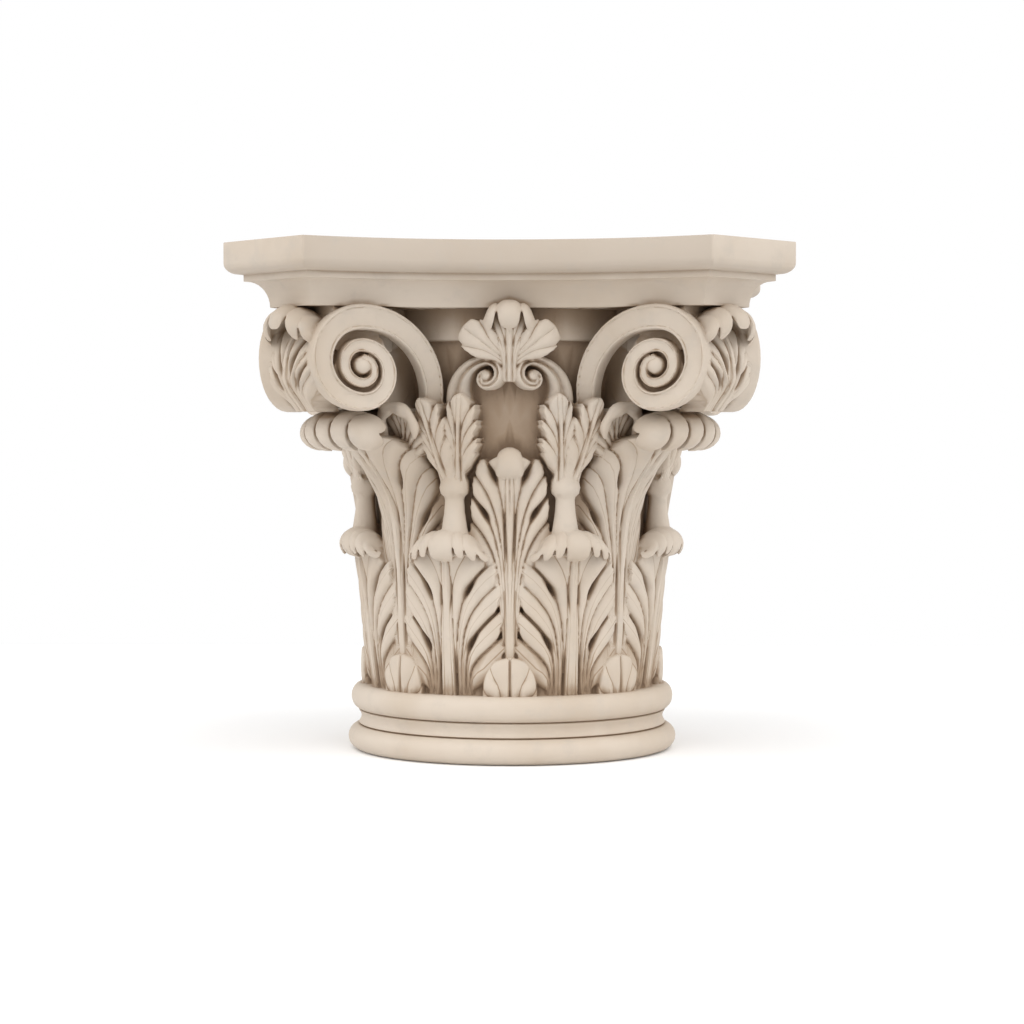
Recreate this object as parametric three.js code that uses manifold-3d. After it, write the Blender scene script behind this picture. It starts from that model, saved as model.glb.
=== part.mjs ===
// Corinthian capital carved as one piece: a moulded base ring, a bell with two tiers of acanthus,
// corner volutes with a leaf on each drum, helices and a fleuron on each side, and a hollow-sided abacus.
// Millimetres, +Z up. The origin is the centre of the bottom bed, and the front side faces -Y.
import * as THREE from "three";
import { ParametricGeometry } from "three/addons/geometries/ParametricGeometry.js";
import { mergeVertices } from "three/addons/utils/BufferGeometryUtils.js";
import Module from "manifold-3d";

const { PI, sin, cos, sqrt, abs, min, max, round, asin } = Math;
const degrees = PI / 180;
const upright = new THREE.Vector3(0, 0, 1);
const sides = 4;

// Driving dimensions
const capitalHeight = 488;
const ring = {
  footRadius: 151,
  lowerTorus: 12.5,
  upperTorus: 9.4,
  torusHeight: 24.4,
  scotiaHeight: 15.6,
  segments: 24,
};
ring.top = 2 * ring.torusHeight + ring.scotiaHeight;
const bell = {
  footRadius: 132,
  topRadius: 160,
  foot: ring.top,
  top: 398,
  flare: 2.2,
  rings: [0, 0.55, 1],
  segments: 16,
};
const lip = { radius: 167, top: 434, roll: 6 };
const abacus = {
  sideRadius: 348,
  sideCentre: 560,
  chamferReach: 447,
  soffit: 428,
  soffitInset: 34,
  fillet: 452,
  filletInset: 14.5,
  slab: 458.5,
  slabEdge: 468.5,
  step: 2,
  sideSteps: 6,
};

// Acanthus leaves: radii of the front along the height, half widths, and the depth of the carving.
const lowerLeaf = {
  angle: 22.6 * degrees,
  lean: -2.8 * degrees,
  foot: 62,
  top: 210,
  spine: [142, 148.5, 153, 160],
  footHalf: 27,
  half: 53,
  lowest: 0.2,
  notch: 0.26,
  groove: 9,
  crown: 7,
  rows: 2,
  halfColumns: 6,
  roll: { radius: 162, z: 206, half: 36, reach: 16, rise: 14, droop: 9 },
};
const faceLeaf = {
  angle: 0,
  foot: 62,
  top: 294,
  spine: [141, 146, 148, 152, 162],
  footHalf: 9,
  half: 37,
  footFlare: 15,
  flareHeight: 42,
  lowest: 0.62,
  notch: 0.1,
  groove: 8,
  crown: 6,
  rows: 3,
  halfColumns: 6,
  roll: { radius: 160, z: 286, half: 15, reach: 8, rise: 12, droop: 4 },
};
const cornerLeaf = {
  angle: PI / 4,
  foot: 62,
  top: 312,
  spine: [141, 147, 150, 162, 212],
  footHalf: 10,
  half: 50,
  footFlare: 15,
  flareHeight: 42,
  lowest: 0.6,
  notch: 0.09,
  groove: 9,
  crown: 9,
  rows: 3,
  halfColumns: 6,
  thickness: 38,
  roll: { radius: 224, z: 316, half: 50, reach: 27, rise: 20, droop: 6 },
};

// Vase-shaped sheath with the two leaves of a calyx opening out of it
const calyx = {
  angle: 20 * degrees,
  foot: 214,
  top: 346,
  spine: [156, 153, 164, 174],
  footHalf: 13,
  half: 42,
  footFlare: 8,
  flareHeight: 36,
  lowest: 0.5,
  notch: 0.2,
  groove: 7,
  crown: 4,
  rows: 3,
  halfColumns: 3,
  split: true,
};

const volute = {
  x: 132,
  depth: 213,
  turn: 25 * degrees,
  top: 430,
  stemRadius: 88,
  firstRadius: 49,
  shrink: 0.735,
  width: 20,
  thickness: 20,
  bendBack: 18,
  stemSteps: 3,
  turnSteps: [5, 4, 3, 2],
};
const drum = { inset: 9, floorHalf: 30, radius: 42, sides: 12, webHalf: 31, webFoot: 313 };
const helix = {
  x: 23,
  depth: 172,
  turn: -20 * degrees,
  top: 385,
  stemRadius: 42,
  firstRadius: 16.5,
  shrink: 0.66,
  width: 9,
  thickness: 18,
  bendBack: 4,
  stemAway: true,
  stemSteps: 2,
  turnSteps: [3, 2],
};
const drumLeaf = {
  angle: PI / 4,
  foot: 336,
  top: 414,
  spine: [272, 292, 294, 288],
  footHalf: 12,
  half: 33,
  lowest: 0.25,
  notch: 0.2,
  groove: 6,
  crown: 8,
  rows: 2,
  halfColumns: 4,
  thickness: 24,
  roll: { radius: 288, z: 411, half: 30, reach: 19, rise: 13, droop: 5 },
};
const fleuron = {
  angle: 0,
  foot: 368,
  top: 430,
  spine: [172, 180, 186, 190],
  footHalf: 8,
  half: 46,
  lowest: 0.3,
  notch: 0.4,
  groove: 5,
  crown: 9,
  rows: 2,
  halfColumns: 4,
  thickness: 44,
  roll: { radius: 190, z: 424, half: 22, reach: 14, rise: 12, droop: 5 },
};

const weld = 1e-3;
const insideBell = 9;
const fan = { curl: 1.6, tilt: 0.6, reach: 0.35, rise: 0.45 };
const rollColumns = 2;
const rollTrim = 0.1;
const rollTaper = 0.45;
const rollSag = 0.5;
const rollAngles = [-40, 35, 110];
const stemLean = 1.5;
const stripTaper = 0.9;

const stone = new THREE.MeshStandardMaterial({ color: 0xd6c8b8, roughness: 0.72, metalness: 0 });

const wasm = await Module();
wasm.setup();

const mix = (from, to, share) => from + (to - from) * share;

// A point at a distance from the axis, turned from the front side towards +X.
const polar = (radius, angle, z) => new THREE.Vector3(radius * sin(angle), -radius * cos(angle), z);

const bellRadius = (z) => {
  const share = min(1, max(0, (z - bell.foot) / (bell.top - bell.foot)));
  return mix(bell.footRadius, bell.topRadius, share ** bell.flare);
};

// Evenly spaced heights from foot to top, each with its radius, as one smooth curve.
function spineOf({ foot, top, spine }) {
  const last = spine.length - 1;
  return new THREE.SplineCurve(spine.map((radius, i) => new THREE.Vector2(radius, mix(foot, top, i / last))));
}

// A closed skin through loops of points: place(i, j) gives point j of loop i, and both end loops close up.
function skin(loops, points, place) {
  return new ParametricGeometry(
    (u, v, target) => target.copy(place(round(u * loops), round(v * points) % points)),
    loops,
    points,
  );
}

// The solid of a closed geometry, with shared corners merged and its faces turned outwards.
function solidOf(geometry) {
  const bare = new THREE.BufferGeometry().setAttribute("position", geometry.getAttribute("position").clone());
  bare.setIndex(geometry.index);
  const merged = mergeVertices(bare, weld);
  const corners = merged.index.array;
  const faces = [];
  for (let i = 0; i < corners.length; i += 3) {
    const face = [corners[i], corners[i + 1], corners[i + 2]];
    if (new Set(face).size === 3) faces.push(face);
  }
  const made = (list) =>
    new wasm.Manifold(
      new wasm.Mesh({
        numProp: 3,
        vertProperties: merged.getAttribute("position").array,
        triVerts: new Uint32Array(list.flat()),
      }),
    );
  const solid = made(faces);
  return solid.volume() > 0 ? solid : made(faces.map(([a, b, c]) => [a, c, b]));
}

// Points on part of an ellipse, by angles in degrees.
const arc = (centreRadius, centreZ, across, upward, from, to, steps) =>
  Array.from({ length: steps + 1 }, (_, i) => {
    const angle = mix(from, to, i / steps) * degrees;
    return new THREE.Vector2(centreRadius + across * cos(angle), centreZ + upward * sin(angle));
  });

// Base ring of two tori with a hollow between them.
function ringGeometry() {
  const { footRadius, lowerTorus, upperTorus, torusHeight, scotiaHeight } = ring;
  const half = torusHeight / 2;
  const outline = [
    new THREE.Vector2(0, 0),
    ...arc(footRadius, half, lowerTorus, half, -90, 90, 4),
    new THREE.Vector2(footRadius, torusHeight + scotiaHeight / 2),
    ...arc(footRadius, ring.top - half, upperTorus, half, -90, 90, 4),
    new THREE.Vector2(0, ring.top),
  ];
  return new THREE.LatheGeometry(outline, ring.segments).rotateX(PI / 2);
}

// Bell behind the leaves, with a plain lip at its top.
function bellGeometry() {
  const outline = [new THREE.Vector2(0, bell.foot - insideBell)];
  for (const share of bell.rings) {
    const z = mix(bell.foot - insideBell, bell.top, share);
    outline.push(new THREE.Vector2(bellRadius(z), z));
  }
  outline.push(
    new THREE.Vector2(lip.radius, bell.top + lip.roll),
    new THREE.Vector2(lip.radius, lip.top),
    new THREE.Vector2(0, lip.top),
  );
  return new THREE.LatheGeometry(outline, bell.segments).rotateX(PI / 2);
}

// Abacus: four hollow sides and cut corners, with cavetto, fillet and quarter-round slab.
function abacusGeometry() {
  const { sideRadius, sideCentre, chamferReach } = abacus;
  const { soffit, soffitInset, fillet, filletInset, slab, slabEdge } = abacus;
  const perSide = abacus.sideSteps + 1;
  const slabInset = filletInset - abacus.step;
  const profile = [
    ...arc(filletInset, soffit, soffitInset - filletInset, fillet - soffit, 0, 90, 2),
    new THREE.Vector2(filletInset, slab),
    ...arc(slabInset, slabEdge, -slabInset, slab - slabEdge, 90, 0, 2),
    new THREE.Vector2(0, capitalHeight),
  ];
  const edgePoint = (inset, z, j) => {
    const radius = sideRadius + inset;
    const gap = sideCentre - chamferReach + Math.SQRT2 * inset;
    const corner = (sqrt(2 * radius ** 2 - gap ** 2) - gap) / 2;
    const sweep = asin(corner / radius) * ((2 * (j % perSide)) / abacus.sideSteps - 1);
    const point = new THREE.Vector3(radius * sin(sweep), radius * cos(sweep) - sideCentre, z);
    return point.applyAxisAngle(upright, (Math.floor(j / perSide) * PI) / 2);
  };
  const loops = profile.length + 1;
  return skin(loops, sides * perSide, (i, j) => {
    if (i === 0) return new THREE.Vector3(0, 0, soffit);
    if (i === loops) return new THREE.Vector3(0, 0, capitalHeight);
    return edgePoint(profile[i - 1].x, profile[i - 1].y, j);
  });
}

// Acanthus leaf: flutes fan out from the foot to a rim of lobes, the middle lobe rolls over at the top,
// and the back lies inside the stone behind.
function leafGeometry(leaf) {
  const { angle, lean = 0, foot, top, thickness, roll, split, rows, halfColumns } = leaf;
  const { footHalf, half, footFlare = 0, flareHeight = 1, lowest, notch, groove, crown } = leaf;
  const curve = spineOf(leaf);
  const length = top - foot;
  const front = rows + (roll ? rollAngles.length : 0);
  const flute = (w) => {
    const opening = (PI / 2) * (1 - (1 - w) ** fan.curl);
    const tilt = fan.tilt * opening;
    const reach = fan.reach * length * (1 - lowest);
    const start = new THREE.Vector2(footHalf * w, 0);
    const end = new THREE.Vector2(half * sin(opening), length * mix(lowest, 1, sqrt(cos(opening))));
    const rise = new THREE.Vector2(start.x, fan.rise * end.y);
    const fall = new THREE.Vector2(end.x - reach * sin(tilt), end.y - reach * cos(tilt));
    return new THREE.CubicBezierCurve(start, rise, fall, end);
  };
  const place = (i, j) => {
    const column = abs(i - halfColumns);
    const side = Math.sign(i - halfColumns);
    const w = column / halfColumns;
    const tip = column % 2 === 1 || (column === 0 && !split);
    const rolled = roll && column <= rollColumns;
    if (rolled && j > rows && j <= front) {
      const share = column / rollColumns;
      const swell = 1 - rollTaper * share ** 2;
      const turn = rollAngles[j - rows - 1] * degrees;
      const radius = roll.radius - rollSag * roll.droop * share ** 2 + roll.reach * swell * cos(turn);
      const z = roll.z - roll.droop * share ** 2 + roll.rise * swell * sin(turn);
      return polar(radius, angle + lean + (side * share * roll.half) / roll.radius, z);
    }
    const back = j > front;
    const q = back ? (front + rows + 1 - j) / rows : min(1, j / rows);
    const trim = rolled ? 1 - rollTrim : tip ? 1 : 1 - notch;
    const onFlute = flute(w).getPoint(q * trim);
    const share = min(1, max(0, onFlute.y / length));
    const mid = curve.getPoint(share);
    const across = onFlute.x + footFlare * w * sqrt(max(0, 1 - onFlute.y / flareHeight));
    const sunk = crown * (across / half) ** 2 + (tip ? 0 : groove * q);
    const behind = max(bellRadius(mid.y) - insideBell, thickness ? mid.x - thickness : 0);
    const radius = back || w === 1 ? behind : mid.x - sunk;
    return polar(radius, angle + lean * share + (side * across) / mid.x, mid.y);
  };
  return skin(2 * halfColumns, front + rows + 2, place);
}

// Directions in the upright plane of a scroll: along it towards its stem, and out of its face.
const scrollAxes = ({ turn, stemAway }) => ({
  along: new THREE.Vector3(-cos(turn), sin(turn), 0).multiplyScalar(stemAway ? -1 : 1),
  outward: new THREE.Vector3(-sin(turn), -cos(turn), 0),
});

// A strip that rises as a quarter circle and winds in by half circles, each smaller than the last.
function scrollGeometry(scroll) {
  const { x, depth, top, stemRadius, stemSteps, bendBack } = scroll;
  const { firstRadius, turnSteps, shrink, width, thickness } = scroll;
  const { along, outward } = scrollAxes(scroll);
  const stations = [];
  for (let i = 0; i <= stemSteps; i++) {
    const left = 1 - i / stemSteps;
    const back = bendBack * left ** stemLean;
    stations.push({ angle: -left / 2, radius: stemRadius, z: top - stemRadius, back, width });
  }
  let centre = top - firstRadius;
  turnSteps.forEach((steps, half) => {
    const radius = firstRadius * shrink ** half;
    for (let i = 1; i <= steps; i++) {
      const angle = half + i / steps;
      stations.push({ angle, radius, z: centre, back: 0, width: width * shrink ** (stripTaper * angle) });
    }
    centre += (half % 2 ? 1 : -1) * radius * (1 - shrink);
  });
  const last = stations.length - 1;
  return skin(last + 2, 4, (i, j) => {
    const s = stations[min(last, max(0, i - 1))];
    const end = i === 0 || i === last + 2;
    const radius = s.radius - (end ? s.width / 2 : j === 1 || j === 2 ? s.width : 0);
    const level = s.back + (end ? thickness / 2 : j === 0 || j === 1 ? 0 : thickness);
    return new THREE.Vector3(x, -depth, s.z + radius * cos(PI * s.angle))
      .addScaledVector(along, -radius * sin(PI * s.angle))
      .addScaledVector(outward, -level);
  });
}

// Drum behind the two volutes of one corner, from ring to ring across the diagonal.
function drumGeometry() {
  const { x, depth, top, firstRadius, thickness } = volute;
  const { along, outward } = scrollAxes(volute);
  return skin(3, drum.sides, (i, j) => {
    const angle = (2 * PI * j) / drum.sides;
    const radius = i % 3 ? drum.radius : 0;
    const near = new THREE.Vector3(x, -depth, top - firstRadius + radius * sin(angle))
      .addScaledVector(along, radius * cos(angle))
      .addScaledVector(outward, -drum.inset - thickness / 4);
    return i < 2 ? near : new THREE.Vector3(-near.y, -near.x, near.z);
  });
}

// Stone behind the two volutes of a corner that joins their drum to the bell.
function webGeometry() {
  const reach = volute.depth;
  const rise = lip.top - drum.webFoot;
  return new THREE.BoxGeometry(2 * drum.webHalf, reach - bell.footRadius, rise)
    .translate(0, -(reach + bell.footRadius) / 2, drum.webFoot + rise / 2)
    .rotateZ(PI / 4);
}

// Floor of the channel between the turns of a volute.
function channelGeometry() {
  const { x, depth, turn, top, firstRadius, thickness } = volute;
  return new THREE.BoxGeometry(2 * drum.floorHalf, thickness / 2, 2 * drum.floorHalf)
    .translate(0, drum.inset + thickness / 4, 0)
    .rotateZ(-turn)
    .translate(x, -depth, top - firstRadius);
}

// Pieces on a face axis or a corner diagonal are turned to the four sides. The others are also mirrored.
const centred = [faceLeaf, fleuron, cornerLeaf, drumLeaf].map(leafGeometry);
centred.push(drumGeometry(), webGeometry());
const paired = [lowerLeaf, calyx].map(leafGeometry);
paired.push(scrollGeometry(volute), channelGeometry(), scrollGeometry(helix));

const mirror = new THREE.Matrix4().makeScale(-1, 1, 1);
const placed = [ringGeometry(), bellGeometry(), abacusGeometry()];
for (let side = 0; side < sides; side++) {
  const turned = new THREE.Matrix4().makeRotationZ((side * 2 * PI) / sides);
  for (const geometry of centred) placed.push(geometry.clone().applyMatrix4(turned));
  for (const geometry of paired) {
    placed.push(geometry.clone().applyMatrix4(turned));
    placed.push(geometry.clone().applyMatrix4(mirror).applyMatrix4(turned));
  }
}

const joined = (solids) => solids.reduce((whole, solid) => whole.add(solid));

// Pockets that the pieces close off inside the stone are filled.
const carved = joined(joined(placed.map(solidOf)).decompose().filter((body) => body.volume() > 0));
const carvedMesh = carved.getMesh();
const carvedGeometry = new THREE.BufferGeometry()
  .setAttribute("position", new THREE.BufferAttribute(carvedMesh.vertProperties, 3))
  .setIndex(new THREE.BufferAttribute(carvedMesh.triVerts, 1));

const capital = new THREE.Mesh(carvedGeometry, stone);
capital.name = "corinthian_capital";

const model = new THREE.Group();
model.add(capital);

export default model;
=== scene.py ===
import math
import bpy
import numpy as np
from mathutils.bvhtree import BVHTree
from mathutils.kdtree import KDTree
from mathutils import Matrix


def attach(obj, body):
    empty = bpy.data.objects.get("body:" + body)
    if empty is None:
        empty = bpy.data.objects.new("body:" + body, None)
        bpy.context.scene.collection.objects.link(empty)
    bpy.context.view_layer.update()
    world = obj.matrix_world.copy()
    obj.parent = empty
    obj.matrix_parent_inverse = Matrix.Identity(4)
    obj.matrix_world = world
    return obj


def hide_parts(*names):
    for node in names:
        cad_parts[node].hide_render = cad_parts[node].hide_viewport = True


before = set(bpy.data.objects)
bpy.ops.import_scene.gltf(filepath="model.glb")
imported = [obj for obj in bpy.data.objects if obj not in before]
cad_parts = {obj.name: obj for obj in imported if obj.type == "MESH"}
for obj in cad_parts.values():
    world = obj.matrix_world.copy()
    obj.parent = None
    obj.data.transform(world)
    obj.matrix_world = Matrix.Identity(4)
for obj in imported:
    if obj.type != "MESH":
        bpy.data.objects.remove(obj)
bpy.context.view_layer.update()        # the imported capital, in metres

mm = 0.001               # sizes below are millimetres, from the axis and the bottom bed
pi = math.pi
halfPi = pi / 2


def rad(degrees):
    return math.radians(degrees)


# A point by its distance from the axis, turned from the front side towards +X
def polar(radius, angle, z):
    radius, angle, z = np.broadcast_arrays(radius, angle, z)
    return np.stack([radius * np.sin(angle), -radius * np.cos(angle), z], axis=-1)


def mix(a, b, share):
    return a + (b - a) * share


def ease(x):
    x = np.clip(x, 0, 1)
    return x * x * (3 - 2 * x)


def hump(distance, width):
    return np.exp(-(distance / width) ** 2)


# Smooth curve through evenly spaced values
def along(values, share):
    values = np.asarray(values, float)
    ends = [2 * values[0] - values[1]], [2 * values[-1] - values[-2]]
    v = np.concatenate([ends[0], values, ends[1]])
    t = np.clip(share, 0, 1) * (len(values) - 1)
    k = np.minimum(t.astype(int), len(values) - 2)
    f = t - k
    a, b, c, d = v[k], v[k + 1], v[k + 2], v[k + 3]
    return b + 0.5 * f * (c - a + f * (2 * a - 5 * b + 4 * c - d + f * (3 * (b - c) + d - a)))


def deselect():
    bpy.ops.object.select_all(action="DESELECT")


def pick(*objects):
    deselect()
    for o in objects:
        o.select_set(True)
    bpy.context.view_layer.objects.active = objects[0]


def readPoints(piece):
    co = np.empty(len(piece.data.vertices) * 3)
    piece.data.vertices.foreach_get("co", co)
    return co.reshape(-1, 3)


def writePoints(piece, points):
    piece.data.vertices.foreach_set("co", np.ascontiguousarray(points, float).ravel())
    piece.data.update()


# A sphere pulled into shape: loop i runs from pole to pole, point j runs round the loop
def skin(name, loops, points, place):
    deselect()
    bpy.ops.mesh.primitive_uv_sphere_add(segments=points, ring_count=loops, radius=1)
    piece = bpy.context.object
    piece.name = name
    co = readPoints(piece)
    i = np.rint(np.arccos(np.clip(co[:, 2], -1, 1)) / pi * loops).astype(int)
    j = np.rint(np.arctan2(co[:, 1], co[:, 0]) / (2 * pi) * points).astype(int) % points
    writePoints(piece, place(i, j) * mm)
    return piece


def outward(piece):
    pick(piece)
    bpy.ops.object.mode_set(mode="EDIT")
    bpy.ops.mesh.select_all(action="SELECT")
    bpy.ops.mesh.normals_make_consistent(inside=False)
    bpy.ops.object.mode_set(mode="OBJECT")
    return piece


def applied(piece, kind, **settings):
    pick(piece)
    m = piece.modifiers.new(kind.lower(), kind)
    for key, value in settings.items():
        setattr(m, key, value)
    bpy.ops.object.modifier_apply(modifier=m.name)
    return piece


# Bell behind the leaves, as a wedge a little wider than one eighth of the round
bell = {"footRadius": 134, "topRadius": 160, "foot": 64.4, "top": 398, "flare": 2.4,
        "skirt": 7, "skirtTop": 190, "lip": 167, "lipTop": 434, "lipEdge": 2.5, "start": 50,
        "from": rad(-9), "to": rad(54), "apex": -25, "arcSteps": 50, "heightSteps": 40}


def bellRadius(z):
    share = np.clip((z - bell["foot"]) / (bell["top"] - bell["foot"]), 0, 1)
    skirt = bell["skirt"] * ease((bell["skirtTop"] - z) / (bell["skirtTop"] - bell["foot"]))
    return mix(bell["footRadius"], bell["topRadius"], share ** bell["flare"]) + skirt


def makeBell():
    heights = np.linspace(bell["start"], bell["top"], bell["heightSteps"])
    profile = [(bellRadius(z), z) for z in heights]
    edge = bell["lipEdge"]
    for turn in (-70, -35, 0):
        profile.append((bell["lip"] - edge + edge * math.cos(rad(turn)),
                        bell["top"] + edge + edge * math.sin(rad(turn))))
    profile.append((bell["lip"], bell["lipTop"]))
    radius = np.array([0] + [p[0] for p in profile] + [0])
    z = np.array([bell["start"]] + [p[1] for p in profile] + [bell["lipTop"]])
    steps = bell["arcSteps"]
    middle = (bell["from"] + bell["to"]) / 2

    def place(i, j):
        angle = mix(bell["from"], bell["to"], j / (steps - 1))
        out = np.where(j < steps, radius[i], np.where(radius[i] > 0, bell["apex"], 0))
        return polar(out, np.where(j < steps, angle, middle), z[i])

    return skin("bell", len(radius) - 1, steps + 1, place)


# Acanthus leaves. A band of leaflets is (share of the way from the rib to the lowest leaflet where it
# ends, height of the drilled eye at its end or 0, number of flutes). Crown, tilt and rib are given at the
# foot or the rib, and at the other end
lowerLeaf = {"angle": rad(23.6), "lean": rad(-1.2), "foot": 60, "top": 210, "spine": [142, 148.5, 153, 159],
             "footHalf": 24, "half": 54, "lowest": 0.2, "square": 0.5, "tilt": (58, 45), "reach": 44,
             "crown": (5, 8), "rib": (7, 2), "veins": 2,
             "bands": [(0.343, 0.7, 2), (0.524, 0, 1), (0.693, 0.58, 1), (0.856, 0, 1), (1, 0, 1)],
             "columns": 160, "rows": 110}
lowerTip = {"angle": rad(22), "radius": 160, "z": 207, "half": 44, "reach": 17, "rise": 15, "droop": 8,
            "slits": (0.3, 0.55, 0.8), "slitEnd": 60, "lasts": (-95, -45, -50, -75),
            "cut": 0.2, "thickness": 13, "gather": 0.25}
faceLeaf = {"angle": 0, "foot": 60, "top": 294, "spine": [141, 146, 148, 152, 161], "footHalf": 6,
            "rise": 0.72, "half": 39, "lowest": 0.6, "square": 0.45, "tilt": (40, 50), "reach": 36,
            "crown": (3, 7), "rib": (4.4, 2.2),
            "bands": [(0.2, 0.87, 1), (0.42, 0, 1), (0.62, 0.81, 1), (0.82, 0, 1), (1, 0, 1)],
            "columns": 140, "rows": 140}
faceTip = {"angle": 0, "radius": 157, "z": 284, "half": 14, "reach": 12, "rise": 15, "droop": 3,
           "slits": (0.56,), "slitEnd": -50, "lasts": (-85, -60), "cut": 0.06,
           "thickness": 20, "gather": 0.1}
cornerLeaf = {"angle": rad(45), "foot": 60, "top": 314, "spine": [141, 147, 150, 162, 214],
              "footHalf": 10, "half": 54, "lowest": 0.6, "square": 0.5, "tilt": (80, 45), "reach": 40,
              "crown": (6, 44), "rib": (4, 3.4), "veins": 2, "thickness": 38,
              "bands": [(0.34, 0.74, 3), (0.53, 0, 1), (0.72, 0.74, 1), (0.88, 0, 1), (1, 0, 1)],
              "columns": 150, "rows": 150}
cornerTip = {"angle": rad(45), "radius": 222, "z": 315, "half": 47, "reach": 27, "rise": 19.5, "droop": 4,
             "slits": (0.2, 0.58), "slitEnd": 130, "lasts": (-90, -95, -135), "cut": 0.2,
             "thickness": 30, "gather": 0}
hoodLeaf = {"angle": rad(39.2), "turn": rad(-15), "foot": 266, "top": 338, "spine": [158, 165, 174, 183],
            "footHalf": 5, "half": 24, "lowest": 0.5, "square": 0.6, "tilt": (30, 50), "reach": 28,
            "crown": (2, -4), "rib": (1.2, 1), "notch": 0.4, "thickness": 30, "depth": 0.9,
            "bands": [(0.34, 0, 2), (0.62, 0, 1), (0.84, 0, 1), (1, 0, 1)], "columns": 90, "rows": 80}
bud = {"angle": 0, "foot": 58, "top": 103, "spine": [148, 149, 148], "footHalf": 25, "half": 27,
       "lowest": 0.13, "square": 0.95, "dome": 1, "tilt": (8, 12), "reach": 14, "crown": (2, 1),
       "rib": (-1.2, -1.2), "notch": 0.6, "cleft": 5, "depth": 0.6, "bands": [(1, 0, 3)],
       "columns": 70, "rows": 40}
cornerBud = dict(bud, angle=rad(45))
carving = {"crowd": 1.4, "curl": 1.6, "shoulder": 0.25, "rise": 0.6, "dome": 0.5,
           "swell": 0.34, "swellMost": 3.8,
           "fold": 2.8, "foldWidth": 0.9, "foldStart": 0.1, "foldRoom": (1.5, 4.5),
           "eye": 13, "eyeWidth": 2.4, "eyeLength": 7, "slit": 6, "slitWidth": 1.2, "slitFade": 6,
           "ribRise": 1.6, "ribEdge": 1.6, "ribEnd": 0.12,
           "ribGap": 1.2, "ribGroove": 3, "ribGrooveWidth": 0.95,
           "edge": 2.4, "tipRound": 3, "eyeNotch": 11, "foldNotch": 8, "lowNotch": 4, "cleftWidth": 0.12,
           "scallop": 2.4, "scallops": 3, "sunkIn": 9, "least": 8, "backRows": 12}
creaseLines = []         # points of the carved faces with the nearest crease, for the brown wash and painted shade in the creases


def noteCreases(spots, crease, spacing, besideRib):
    creaseLines.append(np.column_stack([spots * mm, crease, spacing, besideRib]))


def bezier(start, rise, fall, end, t):
    return tuple((1 - t) ** 3 * a + 3 * t * (1 - t) ** 2 * b + 3 * t * t * (1 - t) * c + t ** 3 * d
                 for a, b, c, d in zip(start, rise, fall, end))


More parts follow.
